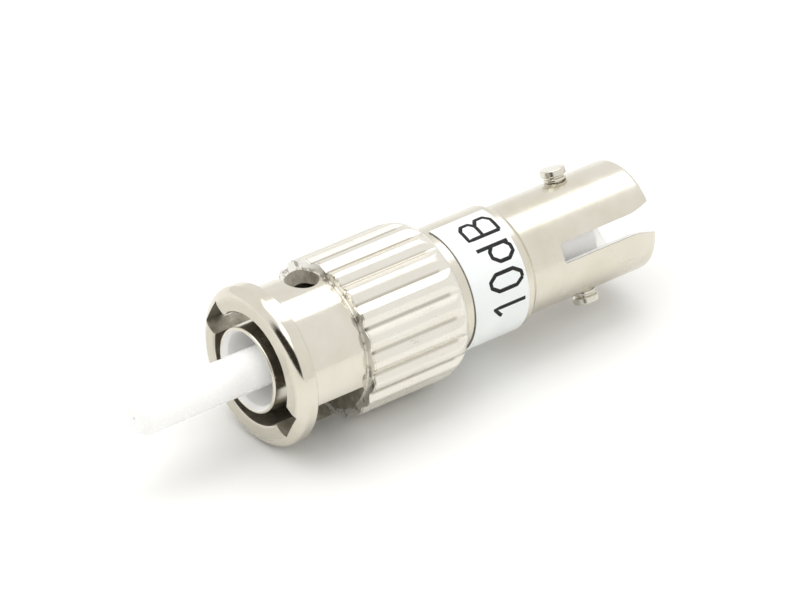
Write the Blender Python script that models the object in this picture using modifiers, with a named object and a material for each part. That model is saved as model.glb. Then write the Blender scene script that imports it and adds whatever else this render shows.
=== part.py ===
"""Fixed fibre optic attenuator: a keyed plug with a bayonet coupling nut at one end, its socket at the other.

Everything is turned about one axis. In the parts' own frame that axis is Z and a place along it is a
station, counted from the coupling nut's front plane towards the socket. One empty lays the axis along
world +X at the height where the nut rests on the floor. A clock angle is 0 at the top and grows
towards world -Y.
"""

import bmesh
import bpy
from math import cos, pi, radians, sin
from mathutils import Matrix

MM = 0.001

# Clearances and facets
SEAT = 0.02 * MM            # between pieces that are pressed or screwed together
RUN = 0.05 * MM             # between pieces that slide or turn
ROUND = 48                  # facets of a turned piece
OVERCUT = 1.0 * MM          # how far a cutter stands out of what it cuts

# Bayonet coupling, shared by the plug and the socket
LUG_SETBACK = 4.0 * MM      # lug centre behind the socket's rim
LUG_HEIGHT = 0.78 * MM      # how far a lug stands out of the socket
LUG_DIAMETER = 1.6 * MM
LOCK_STATION = 4.35 * MM    # lock hole's centre behind the nut's front plane
LOCK_DIAMETER = 2.1 * MM
LOCK_TURN = 54.0            # degrees from entry leg to lock hole
MATED_TRAVEL = 0.9 * MM     # how far the nut is drawn forward when it is locked
KEY_CLOCK = 63.1            # clock angle of the key and the keyway
ENTRY_CLOCK = -64.5         # clock angle of one entry leg, at rest
ENTRY_WIDTH = 2.1 * MM
LEG_WIDTH = 1.7 * MM
LOCK_SEAT = 0.1 * MM        # how far the lock hole reaches behind the leg
SLOT_CORNER = 0.3 * MM

# Coupling nut
NUT_LENGTH = 12.85 * MM
NUT_WALL = 0.85 * MM        # wall of the smooth waist
GRIP_HEIGHT = 0.70 * MM     # how far the grip's crests stand out of the waist
NUT_LIP = 0.9 * MM          # inward lip at the rear, which the spring pushes on
FLANGE_LENGTH = 1.35 * MM
FLANGE_ROUND = 0.5 * MM
GRIP_START = 5.5 * MM
GRIP_TAPER = 1.20 * MM      # rounded fall at the grip's rear
GRIP_FALL = 0.62 * MM
GRIP_RELIEF = 0.15 * MM     # undercut in front of the grip
FLUTES = 20                 # also the facets of the nut's outside, so that each crest is an edge
FLUTE_DEPTH = 0.22 * MM     # below the flat between two crests
CREST_WIDTH = 0.56 * MM     # what two flutes leave between them
FLUTE_OVERCUT = 0.03 * MM   # less than the usual, so that neighbouring flutes stay apart
FLUTE_CLOCK = 180.0         # the nut lies on the two crests beside this flute
EDGE = 0.1 * MM             # small broken edges

# Plug barrel and what sits on it
BARREL_WALL = 0.375 * MM    # wall round the front recess
BARREL_PROUD = 0.2 * MM     # barrel's face in front of the nut's, at rest
NOSE_PLAY = 0.15 * MM       # recess round the ferrule is this much wider than a mating nose
NOSE_ROOM = 0.25 * MM       # and this much deeper
WEB = 1.2 * MM              # wall between the recess and the rear bore
TAIL_WALL = 0.46 * MM       # wall of the barrel's tail, inside the socket's spigot
KEY_DIAMETER = 1.0 * MM
KEY_HEIGHT = 0.575 * MM     # how far the key stands out of the barrel
KEY_DEPTH = 0.975 * MM      # and how deep it is pressed in
RING_ROOM = 0.15 * MM       # from a mated socket's rim to the retaining ring
RING_THICKNESS = 0.46 * MM
GROOVE_DEPTH = 0.325 * MM
RING_WIDTH = 0.73 * MM
RING_GAP = 70.0             # degrees that the split ring leaves open
WASHER_PLAY = 0.09 * MM     # washers are this much smaller than the nut's bore
WASHER_THICKNESS = 0.38 * MM
SPRING_WIRE = 0.40 * MM
SPRING_TURNS = 3.25

# Ferrule and the sleeve that lines it up with the mating one
FERRULE_RADIUS = 1.25 * MM
FERRULE_REACH = 8.2 * MM    # in front of the barrel's face
FERRULE_CHAMFER = 0.35 * MM
FERRULE_DOME = 0.06 * MM
FIBRE_RADIUS = 0.0625 * MM
FIBRE_FACETS = 12
COLLAR_LENGTH = 1.1 * MM
COLLAR_CHAMFER = 0.2 * MM
CAP_LIP = 0.4 * MM
CAP_SKIRT = 2.5 * MM
SLEEVE_WALL = 0.33 * MM
SLEEVE_SLIT = 0.5 * MM
HOLDER_WALL = 0.38 * MM
GUIDE_RADIUS = 1.60 * MM    # hole that leads a ferrule into the sleeve
NOSE_WALL = 0.60 * MM
NOSE_SETBACK = 3.5 * MM     # nose tip behind the socket's rim
NOSE_CHAMFER = 0.25 * MM
HOLDER_FLANGE = 1.0 * MM

# Centre body, label and socket
BODY_LENGTH = 5.8 * MM
BODY_WALL = 0.56 * MM       # wall round the socket's spigot
BODY_CHAMFER = 0.4 * MM
LABEL_SETBACK = 0.95 * MM   # bare band between the nut and the label
LABEL_LENGTH = 4.05 * MM
LABEL_THICKNESS = 0.08 * MM
LABEL_CLOCK = -11.9
LABEL_WRAP = 250.0
SOCKET_LENGTH = 9.4 * MM    # in front of the centre body
SOCKET_WALL = 0.6 * MM
SOCKET_PLAY = 0.175 * MM    # socket's bore is this much wider than a mating barrel
SOCKET_DEPTH = 8.1 * MM
SOCKET_WEB = 0.8 * MM
SOCKET_ROUND = 0.25 * MM
SPIGOT_LENGTH = 3.7 * MM
SPIGOT_STEP = 0.2 * MM      # spigot is this much smaller than the socket
KEYWAY_WIDTH = 1.3 * MM
KEYWAY_LENGTH = 7.0 * MM
LUG_SHANK = 0.55 * MM       # radius of the lug's shank in the socket's wall
LUG_NECK = 0.62 * MM
LUG_COLLAR = 0.74 * MM
LUG_CHAMFER = 0.08 * MM

# Radii that follow from the sizes above, from the ferrule outwards
SLEEVE_OUTER = FERRULE_RADIUS + SEAT + SLEEVE_WALL
HOLDER_RADIUS = SLEEVE_OUTER + SEAT + HOLDER_WALL
INNER_BORE = HOLDER_RADIUS + SEAT
TAIL_RADIUS = INNER_BORE + TAIL_WALL
NOSE_RADIUS = GUIDE_RADIUS + NOSE_WALL
RECESS_RADIUS = NOSE_RADIUS + NOSE_PLAY
BARREL_RADIUS = RECESS_RADIUS + BARREL_WALL
KEY_REACH = BARREL_RADIUS + KEY_HEIGHT
KEY_ROOT = BARREL_RADIUS - KEY_DEPTH
RING_GROOVE = BARREL_RADIUS - GROOVE_DEPTH
RING_RADIUS = RING_GROOVE + SEAT + RING_WIDTH
SOCKET_BORE = BARREL_RADIUS + SOCKET_PLAY
SOCKET_RADIUS = SOCKET_BORE + SOCKET_WALL
LUG_REACH = SOCKET_RADIUS + LUG_HEIGHT
SPIGOT_RADIUS = SOCKET_RADIUS - SPIGOT_STEP
BODY_RADIUS = SPIGOT_RADIUS + SEAT + BODY_WALL
NUT_BORE = SOCKET_RADIUS + RUN
NUT_WAIST = NUT_BORE + NUT_WALL
NUT_RADIUS = NUT_WAIST + GRIP_HEIGHT
WASHER_RADIUS = NUT_BORE - WASHER_PLAY
SPRING_RADIUS = (BARREL_RADIUS + NUT_BORE) / 2

# Stations that follow
BARREL_FACE = -BARREL_PROUD
FERRULE_TIP = BARREL_FACE - FERRULE_REACH
BODY_FRONT = NUT_LENGTH + RUN
BODY_REAR = BODY_FRONT + BODY_LENGTH
RIM = BODY_REAR + SOCKET_LENGTH
MATED_RIM = LOCK_STATION + LUG_SETBACK - MATED_TRAVEL     # a mating socket's rim, on this plug
MATED_DEPTH = MATED_RIM - BARREL_FACE
MATING_PLANE = RIM - MATED_DEPTH - FERRULE_REACH          # where two ferrules meet, in this socket
RECESS_FLOOR = BARREL_FACE + MATED_DEPTH - NOSE_SETBACK + NOSE_ROOM
WEB_REAR = RECESS_FLOOR + WEB
COLLAR_FRONT = WEB_REAR + SEAT
COLLAR_REAR = COLLAR_FRONT + COLLAR_LENGTH
CAP_FRONT = COLLAR_REAR + SEAT
SLEEVE_FRONT = CAP_FRONT + CAP_LIP + SEAT
SLEEVE_REAR = 2 * MATING_PLANE - SLEEVE_FRONT
CAP_REAR = CAP_FRONT + CAP_LIP + CAP_SKIRT
NOSE_TIP = RIM - NOSE_SETBACK
SOCKET_FLOOR = RIM - SOCKET_DEPTH
SOCKET_WEB_FRONT = SOCKET_FLOOR - SOCKET_WEB
FLANGE_REAR = SOCKET_WEB_FRONT - SEAT
FLANGE_FRONT = FLANGE_REAR - HOLDER_FLANGE
TAIL_END = FLANGE_FRONT - SEAT
SPIGOT_FRONT = BODY_REAR - SPIGOT_LENGTH
RING_FRONT = MATED_RIM + RING_ROOM
RING_REAR = RING_FRONT + RING_THICKNESS
THRUST_FRONT = RING_REAR + SEAT
THRUST_REAR = THRUST_FRONT + WASHER_THICKNESS
SLIP_REAR = NUT_LENGTH - NUT_LIP - SEAT
SLIP_FRONT = SLIP_REAR - WASHER_THICKNESS
KEY_STATION = RECESS_FLOOR + WEB / 2
LUG_STATION = RIM - LUG_SETBACK
LABEL_FRONT = BODY_FRONT + LABEL_SETBACK
LABEL_REAR = LABEL_FRONT + LABEL_LENGTH
LEG_REAR = LOCK_STATION + LOCK_DIAMETER / 2 - LOCK_SEAT
LEG_FRONT = LEG_REAR - LEG_WIDTH
MIDDLE = (FERRULE_TIP + RIM) / 2
NUT_FLAT = NUT_RADIUS * cos(pi / FLUTES)                  # from the axis to a facet's middle


def clear_scene():
    for obj in list(bpy.data.objects):
        bpy.data.objects.remove(obj, do_unlink=True)


def collection(name):
    made = bpy.data.collections.new(name)
    bpy.context.scene.collection.children.link(made)
    return made


def material(name, colour, roughness, metallic):
    made = bpy.data.materials.new(name)
    made.use_nodes = True
    shader = made.node_tree.nodes["Principled BSDF"]
    shader.inputs["Base Color"].default_value = (*colour, 1.0)
    shader.inputs["Roughness"].default_value = roughness
    shader.inputs["Metallic"].default_value = metallic
    return made


clear_scene()
PARTS = collection("fiber_optic_attenuator")
CUTTERS = collection("cutters")

NICKEL = ("nickel plate", (0.74, 0.71, 0.63), 0.22, 1.0)
BRASS = ("brass", (0.72, 0.57, 0.28), 0.35, 1.0)
STEEL = ("spring steel", (0.62, 0.62, 0.61), 0.28, 1.0)
CERAMIC = ("white ceramic", (0.93, 0.93, 0.91), 0.15, 0.0)
PAPER = ("label film", (0.90, 0.92, 0.91), 0.45, 0.0)
GLASS = ("doped glass", (0.70, 0.78, 0.80), 0.10, 0.0)


def lay_axis():
    """The empty that lays the parts' Z axis along world +X, centred, with the nut on the floor."""
    empty = bpy.data.objects.new("axis", None)
    empty.rotation_euler = (0, radians(90), 0)
    empty.location = (-MIDDLE, 0, NUT_FLAT)
    PARTS.objects.link(empty)
    return empty


AXIS = lay_axis()


def turn(clock):
    """Rotation about the parts' own axis that brings local +X to a clock angle."""
    return radians(clock + 180)


def place(name, mesh, look):
    """A part on the common axis, with its material."""
    obj = bpy.data.objects.new(name, mesh)
    obj.parent = AXIS
    mesh.materials.append(material(f"{name} {look[0]}", *look[1:]))
    PARTS.objects.link(obj)
    return obj


def cutter(name, mesh):
    obj = bpy.data.objects.new(name, mesh)
    obj.parent = AXIS
    obj.hide_render = True
    obj.display_type = "WIRE"
    return obj


def mesh_of(name, bm):
    mesh = bpy.data.meshes.new(name)
    bm.to_mesh(mesh)
    bm.free()
    return mesh


def cut(obj, *cutters):
    """Takes the cutters out of a piece in one operation, so that no cut blurs the corners of another."""
    group = bpy.data.collections.new(f"{obj.name}_cutters")
    CUTTERS.children.link(group)
    for shape in cutters:
        group.objects.link(shape)
    made = obj.modifiers.new(group.name, "BOOLEAN")
    made.operation = "DIFFERENCE"
    made.solver = "EXACT"
    made.operand_type = "COLLECTION"
    made.collection = group


def arc(centre, radius, start, end, steps):
    """Points (radius, station) on an arc, from one angle to another in degrees."""
    angles = [radians(start + (end - start) * i / steps) for i in range(steps + 1)]
    return [(centre[0] + radius * cos(a), centre[1] + radius * sin(a)) for a in angles]


def turned(name, outer, inner, look, facets=ROUND, start=0.0):
    """A turned tube: outer and inner outlines are (radius, station) points from front to rear.

    The outline starts at the bottom of the lying part, turned from there by start in degrees.
    """
    loop = outer[::-1] + inner
    mesh = bpy.data.meshes.new(name)
    ends = [(i, (i + 1) % len(loop)) for i in range(len(loop))]
    across, along = cos(radians(start)), sin(radians(start))
    mesh.from_pydata([(r * across, r * along, s) for r, s in loop], ends, [])
    obj = place(name, mesh, look)
    screw = obj.modifiers.new("turn", "SCREW")
    screw.axis = "Z"
    screw.angle = radians(360)
    screw.steps = screw.render_steps = facets
    screw.use_merge_vertices = True
    screw.merge_threshold = 1e-7
    screw.use_smooth_shade = True
    return obj


def prism(name, outline, front, rear):
    """A cutter: an outline in the plane across the axis, drawn out from front to rear."""
    bm = bmesh.new()
    face = bm.faces.new([bm.verts.new((x, y, front)) for x, y in outline])
    drawn = bmesh.ops.extrude_face_region(bm, geom=[face])
    moved = [v for v in drawn["geom"] if isinstance(v, bmesh.types.BMVert)]
    bmesh.ops.translate(bm, vec=(0, 0, rear - front), verts=moved)
    bmesh.ops.recalc_face_normals(bm, faces=bm.faces)
    return cutter(name, mesh_of(name, bm))


def block(name, inside, outside, width, front, rear, clock, corner=0.0):
    """A cutter: a box that lies radially between two radii, with rounded corners if asked."""
    bm = bmesh.new()
    bmesh.ops.create_cube(bm, size=1)
    bmesh.ops.scale(bm, vec=(outside - inside, width, rear - front), verts=bm.verts)
    centre = ((inside + outside) / 2, 0, (front + rear) / 2)
    bmesh.ops.translate(bm, vec=centre, verts=bm.verts)
    if corner:
        radial = [e for e in bm.edges if abs(e.verts[0].co.x - e.verts[1].co.x) > 1e-9]
        bmesh.ops.bevel(bm, geom=radial, offset=corner, segments=3, profile=0.5, affect="EDGES")
    bmesh.ops.rotate(bm, matrix=Matrix.Rotation(turn(clock), 3, "Z"), verts=bm.verts)
    return cutter(name, mesh_of(name, bm))


def pin(bm, profile, facets):
    """A solid turned about Z: profile is (radius, height) points from one end to the other."""
    line = [bm.verts.new((radius, 0, height)) for radius, height in profile]
    edges = [bm.edges.new(pair) for pair in zip(line, line[1:])]
    bmesh.ops.spin(
        bm, geom=line + edges, cent=(0, 0, 0), axis=(0, 0, 1), angle=2 * pi, steps=facets, use_merge=True
    )
    bmesh.ops.holes_fill(bm, edges=bm.edges)
    bmesh.ops.recalc_face_normals(bm, faces=bm.faces)


def radial_pin(bm, profile, station, clock, facets):
    """A pin turned about a radial line: profile is (pin radius, distance from the main axis)."""
    pin(bm, profile, facets)
    stand = Matrix.Rotation(turn(clock), 4, "Z") @ Matrix.Rotation(radians(90), 4, "Y")
    bmesh.ops.transform(bm, matrix=Matrix.Translation((0, 0, station)) @ stand, verts=bm.verts)


def pin_hole(name, radius, inside, outside, station, clock, facets=24):
    bm = bmesh.new()
    radial_pin(bm, [(radius, inside), (radius, outside)], station, clock, facets)
    return cutter(name, mesh_of(name, bm))


def sector(inside, outside, start, wrap):
    """Outline of a ring's sector across the axis, from one clock angle over a wrap in degrees."""
    steps = max(3, round(wrap / 6))
    angles = [turn(start + wrap * i / steps) for i in range(steps + 1)]
    outer = [(outside * cos(a), outside * sin(a)) for a in angles]
    if inside == 0:
        return outer + [(0, 0)]
    return outer + [(inside * cos(a), inside * sin(a)) for a in angles[::-1]]


def ferrule():
    """Long white ferrule with a chamfered, slightly domed tip at both ends."""
    front, rear = FERRULE_TIP, MATING_PLANE
    face = FERRULE_RADIUS - FERRULE_CHAMFER / 2
    bore = FIBRE_RADIUS + SEAT
    outer = [
        (bore + FERRULE_CHAMFER, front),
        (face, front + FERRULE_DOME),
        (FERRULE_RADIUS, front + FERRULE_DOME + FERRULE_CHAMFER),
        (FERRULE_RADIUS, rear - FERRULE_DOME - FERRULE_CHAMFER),
        (face, rear - FERRULE_DOME),
        (bore + FERRULE_CHAMFER, rear),
    ]
    return turned("ferrule", outer, [(bore, front), (bore, rear)], CERAMIC)


def attenuating_fibre():
    """The doped fibre that runs through the ferrule's bore and is polished flush at both ends."""
    bm = bmesh.new()
    front, rear = FERRULE_TIP + SEAT, MATING_PLANE - SEAT
    bmesh.ops.create_cone(
        bm, cap_ends=True, segments=FIBRE_FACETS, radius1=FIBRE_RADIUS, radius2=FIBRE_RADIUS, depth=rear - front
    )
    bmesh.ops.translate(bm, vec=(0, 0, (front + rear) / 2), verts=bm.verts)
    return place("attenuating_fibre", mesh_of("attenuating_fibre", bm), GLASS)


def ferrule_collar():
    """Metal collar on the ferrule, seated against the barrel's web."""
    radius, bore = INNER_BORE - SEAT, FERRULE_RADIUS + SEAT
    outer = [
        (radius, COLLAR_FRONT),
        (radius, COLLAR_REAR - COLLAR_CHAMFER),
        (radius - COLLAR_CHAMFER, COLLAR_REAR),
    ]
    return turned("ferrule_collar", outer, [(bore, COLLAR_FRONT), (bore, COLLAR_REAR)], BRASS)


def sleeve_cap():
    """Cap with an inward lip that keeps the split sleeve from leaving forwards."""
    radius, lip, skirt = HOLDER_RADIUS, FERRULE_RADIUS + RUN, SLEEVE_OUTER + SEAT
    step = CAP_FRONT + CAP_LIP
    inner = [(lip, CAP_FRONT), (lip, step), (skirt, step), (skirt, CAP_REAR)]
    return turned("sleeve_cap", [(radius, CAP_FRONT), (radius, CAP_REAR)], inner, BRASS)


def split_sleeve():
    """Ceramic sleeve with one slit along it, centred on the mating plane."""
    bore = FERRULE_RADIUS + SEAT
    ends = SLEEVE_FRONT, SLEEVE_REAR
    sleeve = turned("split_sleeve", [(SLEEVE_OUTER, s) for s in ends], [(bore, s) for s in ends], CERAMIC)
    slit = block(
        "sleeve_slit", bore / 2, SLEEVE_OUTER + OVERCUT, SLEEVE_SLIT,
        SLEEVE_FRONT - OVERCUT, SLEEVE_REAR + OVERCUT, KEY_CLOCK + 180,
    )
    cut(sleeve, slit)
    return sleeve


def sleeve_holder():
    """Turned holder: thin rear tube round the sleeve, a flange, and the nose that stands in the socket."""
    front = CAP_REAR + SEAT
    stop = SLEEVE_REAR + SEAT
    outer = [
        (HOLDER_RADIUS, front),
        (HOLDER_RADIUS, FLANGE_FRONT),
        (TAIL_RADIUS, FLANGE_FRONT),
        (TAIL_RADIUS, FLANGE_REAR),
        (NOSE_RADIUS, FLANGE_REAR),
        (NOSE_RADIUS, NOSE_TIP - NOSE_CHAMFER),
        (NOSE_RADIUS - NOSE_CHAMFER, NOSE_TIP),
    ]
    bore = SLEEVE_OUTER + SEAT
    inner = [
        (bore, front),
        (bore, stop),
        (GUIDE_RADIUS, stop),
        (GUIDE_RADIUS, NOSE_TIP - NOSE_CHAMFER),
        (GUIDE_RADIUS + NOSE_CHAMFER, NOSE_TIP),
    ]
    return turned("sleeve_holder", outer, inner, BRASS)


def plug_barrel():
    """Barrel round the ferrule: front recess, web, rear bore, a groove for the ring, and its tail."""
    step = SPIGOT_FRONT - SEAT
    hole = FERRULE_RADIUS + SEAT
    outer = [
        (BARREL_RADIUS - EDGE, BARREL_FACE),
        (BARREL_RADIUS, BARREL_FACE + EDGE),
        (BARREL_RADIUS, RING_FRONT - SEAT),
        (RING_GROOVE, RING_FRONT - SEAT),
        (RING_GROOVE, RING_REAR + SEAT),
        (BARREL_RADIUS, RING_REAR + SEAT),
        (BARREL_RADIUS, step),
        (TAIL_RADIUS, step),
        (TAIL_RADIUS, TAIL_END),
    ]
    inner = [
        (RECESS_RADIUS + EDGE, BARREL_FACE),
        (RECESS_RADIUS, BARREL_FACE + EDGE),
        (RECESS_RADIUS, RECESS_FLOOR),
        (hole, RECESS_FLOOR),
        (hole, WEB_REAR),
        (INNER_BORE, WEB_REAR),
        (INNER_BORE, TAIL_END),
    ]
    barrel = turned("plug_barrel", outer, inner, NICKEL)
    hole = pin_hole(
        "key_hole", KEY_DIAMETER / 2 + SEAT, KEY_ROOT - SEAT, BARREL_RADIUS + OVERCUT, KEY_STATION, KEY_CLOCK
    )
    cut(barrel, hole)
    return barrel


def alignment_key():
    """Round key pressed into the barrel's web, which runs in a mating socket's keyway."""
    bm = bmesh.new()
    radius = KEY_DIAMETER / 2
    profile = [(radius, KEY_ROOT), (radius, KEY_REACH - EDGE), (radius - EDGE, KEY_REACH)]
    radial_pin(bm, profile, KEY_STATION, KEY_CLOCK, 24)
    return place("alignment_key", mesh_of("alignment_key", bm), STEEL)


def retaining_ring():
    """Split ring in the barrel's groove."""
    inside = RING_GROOVE + SEAT
    ends = RING_FRONT, RING_REAR
    ring = turned("retaining_ring", [(RING_RADIUS, s) for s in ends], [(inside, s) for s in ends], STEEL)
    gap = prism(
        "ring_gap", sector(0, RING_RADIUS + OVERCUT, KEY_CLOCK + 180 - RING_GAP / 2, RING_GAP),
        RING_FRONT - OVERCUT, RING_REAR + OVERCUT,
    )
    cut(ring, gap)
    return ring


def washer(name, front, rear):
    inside = BARREL_RADIUS + RUN
    return turned(name, [(WASHER_RADIUS, s) for s in (front, rear)], [(inside, s) for s in (front, rear)], STEEL)


def coupling_spring():
    """Compression spring between the two washers, one closed turn in four at each end."""
    low = THRUST_REAR + SEAT + SPRING_WIRE / 2
    high = SLIP_FRONT - SEAT - SPRING_WIRE / 2
    per_turn = 18
    steps = round(SPRING_TURNS * per_turn)
    curve = bpy.data.curves.new("coupling_spring", "CURVE")
    curve.dimensions = "3D"
    curve.bevel_depth = SPRING_WIRE / 2
    curve.bevel_resolution = 2
    curve.use_fill_caps = True
    spline = curve.splines.new("POLY")
    spline.points.add(steps)
    closed = 0.25 / SPRING_TURNS
    for i, point in enumerate(spline.points):
        share = i / steps
        rise = min(1, max(0, (share - closed) / (1 - 2 * closed)))
        angle = 2 * pi * SPRING_TURNS * share
        x, y = SPRING_RADIUS * cos(angle), SPRING_RADIUS * sin(angle)
        point.co = (x, y, low + (high - low) * rise, 1)
    return place("coupling_spring", curve, STEEL)


def flute_cutter():
    """All the grip's shallow V grooves as one cutter, each in the middle of a facet."""
    bm = bmesh.new()
    bottom = NUT_FLAT - FLUTE_DEPTH
    top = NUT_FLAT + FLUTE_OVERCUT
    half = NUT_RADIUS * sin(pi / FLUTES) - CREST_WIDTH / 2
    wide = half * (top - bottom) / FLUTE_DEPTH
    front, rear = GRIP_START - GRIP_RELIEF, NUT_LENGTH + OVERCUT
    for i in range(FLUTES):
        corners = [(bottom, 0, front), (top, wide, front), (top, -wide, front)]
        face = bm.faces.new([bm.verts.new(c) for c in corners])
        drawn = bmesh.ops.extrude_face_region(bm, geom=[face])
        moved = [v for v in drawn["geom"] if isinstance(v, bmesh.types.BMVert)]
        bmesh.ops.translate(bm, vec=(0, 0, rear - front), verts=moved)
        spin = Matrix.Rotation(turn(FLUTE_CLOCK + 360 / FLUTES * i), 3, "Z")
        bmesh.ops.rotate(bm, matrix=spin, verts=moved + list(face.verts))
    bmesh.ops.recalc_face_normals(bm, faces=bm.faces)
    return cutter("grip_flutes", mesh_of("grip_flutes", bm))


def bayonet_slot(name, clock):
    """Cutters of one bayonet slot: entry leg through the flange, turning leg, and the round lock hole."""
    inside, outside = NUT_BORE - OVERCUT, NUT_WAIST + RUN
    entry = block(
        f"{name}_entry", inside, outside, ENTRY_WIDTH, -OVERCUT, LEG_REAR, clock, SLOT_CORNER
    )
    leg = prism(f"{name}_leg", sector(inside, outside, clock, LOCK_TURN), LEG_FRONT, LEG_REAR)
    lock = pin_hole(
        f"{name}_lock", LOCK_DIAMETER / 2, inside, outside, LOCK_STATION, clock + LOCK_TURN, 32
    )
    return [entry, leg, lock]


def nut_bore():
    """The nut's bore with its broken front edge, and the smaller hole through the rear lip."""
    step = NUT_LENGTH - NUT_LIP
    lip = BARREL_RADIUS + RUN
    profile = [
        (NUT_BORE + EDGE + OVERCUT, -OVERCUT),
        (NUT_BORE, EDGE),
        (NUT_BORE, step),
        (lip, step),
        (lip, NUT_LENGTH + OVERCUT),
    ]
    bm = bmesh.new()
    pin(bm, profile, ROUND)
    return cutter("nut_bore", mesh_of("nut_bore", bm))


def coupling_nut():
    """Bayonet nut: rounded front flange, smooth waist with two slots, fluted grip, inward rear lip."""
    fall = [
        (NUT_RADIUS - GRIP_FALL * (1 - cos(pi / 2 * i / 4)), NUT_LENGTH - GRIP_TAPER * (1 - sin(pi / 2 * i / 4)))
        for i in range(5)
    ]
    outer = [
        *arc((NUT_RADIUS - FLANGE_ROUND, FLANGE_ROUND), FLANGE_ROUND, -90, 0, 4),
        (NUT_RADIUS, FLANGE_LENGTH - EDGE),
        (NUT_RADIUS - EDGE, FLANGE_LENGTH),
        (NUT_WAIST, FLANGE_LENGTH),
        (NUT_WAIST, GRIP_START - GRIP_RELIEF * 2),
        (NUT_WAIST - GRIP_RELIEF, GRIP_START - GRIP_RELIEF),
        (NUT_WAIST - GRIP_RELIEF, GRIP_START),
        (NUT_RADIUS - EDGE, GRIP_START),
        (NUT_RADIUS, GRIP_START + EDGE),
        *fall,
    ]
    blank = [(RECESS_RADIUS, 0), (RECESS_RADIUS, NUT_LENGTH)]
    nut = turned("coupling_nut", outer, blank, NICKEL, FLUTES, 180 / FLUTES)
    slots = bayonet_slot("slot_a", ENTRY_CLOCK) + bayonet_slot("slot_b", ENTRY_CLOCK + 180)
    cut(nut, nut_bore(), flute_cutter(), *slots)
    return nut


def centre_body():
    """Turned body between the nut and the socket: bored for the barrel in front, for the spigot behind."""
    barrel, spigot = BARREL_RADIUS + SEAT, SPIGOT_RADIUS + SEAT
    outer = [
        (BODY_RADIUS - EDGE, BODY_FRONT),
        (BODY_RADIUS, BODY_FRONT + EDGE),
        (BODY_RADIUS, BODY_REAR - BODY_CHAMFER),
        (BODY_RADIUS - BODY_CHAMFER / 2, BODY_REAR),
    ]
    inner = [
        (barrel, BODY_FRONT),
        (barrel, SPIGOT_FRONT - SEAT),
        (spigot, SPIGOT_FRONT - SEAT),
        (spigot, BODY_REAR),
    ]
    return turned("centre_body", outer, inner, NICKEL)


def rating_label():
    """Film label wrapped part of the way round the centre body."""
    inside = BODY_RADIUS + SEAT
    outside = inside + LABEL_THICKNESS
    ends = LABEL_FRONT, LABEL_REAR
    label = turned("rating_label", [(outside, s) for s in ends], [(inside, s) for s in ends], PAPER)
    bare = prism(
        "label_gap", sector(0, outside + OVERCUT, LABEL_CLOCK + LABEL_WRAP, 360 - LABEL_WRAP),
        LABEL_FRONT - OVERCUT, LABEL_REAR + OVERCUT,
    )
    cut(label, bare)
    return label


def receptacle():
    """Socket: spigot in the centre body, a web that holds the nose, keyway and two lug holes."""
    rear_bore = TAIL_RADIUS + SEAT
    web = NOSE_RADIUS + SEAT
    rounding = arc((SOCKET_RADIUS - SOCKET_ROUND, RIM - SOCKET_ROUND), SOCKET_ROUND, 0, 90, 4)
    outer = [
        (SPIGOT_RADIUS, SPIGOT_FRONT),
        (SPIGOT_RADIUS, BODY_REAR + SEAT),
        (SOCKET_RADIUS, BODY_REAR + SEAT),
        *rounding,
    ]
    inner = [
        (rear_bore, SPIGOT_FRONT),
        (rear_bore, SOCKET_WEB_FRONT),
        (web, SOCKET_WEB_FRONT),
        (web, SOCKET_FLOOR),
        (SOCKET_BORE, SOCKET_FLOOR),
        (SOCKET_BORE, RIM - EDGE),
        (SOCKET_BORE + EDGE, RIM),
    ]
    socket = turned("receptacle", outer, inner, NICKEL)
    cutters = [block(
        "keyway", SOCKET_BORE / 2 + NOSE_RADIUS / 2, SOCKET_RADIUS + OVERCUT, KEYWAY_WIDTH,
        RIM - KEYWAY_LENGTH, RIM + OVERCUT, KEY_CLOCK,
    )]
    for name, clock in lug_clocks():
        cutters.append(pin_hole(
            f"{name}_hole", LUG_SHANK + SEAT, NOSE_RADIUS + SEAT, SOCKET_RADIUS + OVERCUT, LUG_STATION, clock
        ))
    cut(socket, *cutters)
    return socket


def lug_clocks():
    return (("bayonet_lug_upper", KEY_CLOCK - 90), ("bayonet_lug_lower", KEY_CLOCK + 90))


def bayonet_lug(name, clock):
    """Turned lug: shank in the socket's wall, a collar on it, a waist and a wider head."""
    seat = SOCKET_RADIUS + SEAT
    head = LUG_DIAMETER / 2
    rise = LUG_REACH - seat
    profile = [
        (LUG_SHANK, SOCKET_BORE + SEAT),
        (LUG_SHANK, seat),
        (LUG_COLLAR, seat),
        (LUG_COLLAR, seat + rise * 0.16),
        (LUG_NECK, seat + rise * 0.30),
        (LUG_NECK, seat + rise * 0.50),
        (head, seat + rise * 0.62),
        (head, LUG_REACH - LUG_CHAMFER),
        (head - LUG_CHAMFER, LUG_REACH),
    ]
    bm = bmesh.new()
    radial_pin(bm, profile, LUG_STATION, clock, 24)
    return place(name, mesh_of(name, bm), NICKEL)


def build():
    ferrule()
    attenuating_fibre()
    ferrule_collar()
    sleeve_cap()
    split_sleeve()
    sleeve_holder()
    plug_barrel()
    alignment_key()
    retaining_ring()
    washer("thrust_washer", THRUST_FRONT, THRUST_REAR)
    coupling_spring()
    washer("slip_washer", SLIP_FRONT, SLIP_REAR)
    coupling_nut()
    centre_body()
    rating_label()
    receptacle()
    for name, clock in lug_clocks():
        bayonet_lug(name, clock)


build()
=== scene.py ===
"""The finish of a fixed fibre optic attenuator: nickel-plated plug, nut and socket, white ferrule, label.

Every turned piece is an outline of (radius, station) corners in millimetres, rounded and spun about the
common axis, which lies along X. Stations are world X. A clock angle is 0 at the top and grows towards -Y.
"""

from math import cos, degrees, atan2, hypot, pi, radians, sin, tan

import bmesh
import bpy
from mathutils import Matrix, Vector

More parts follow.
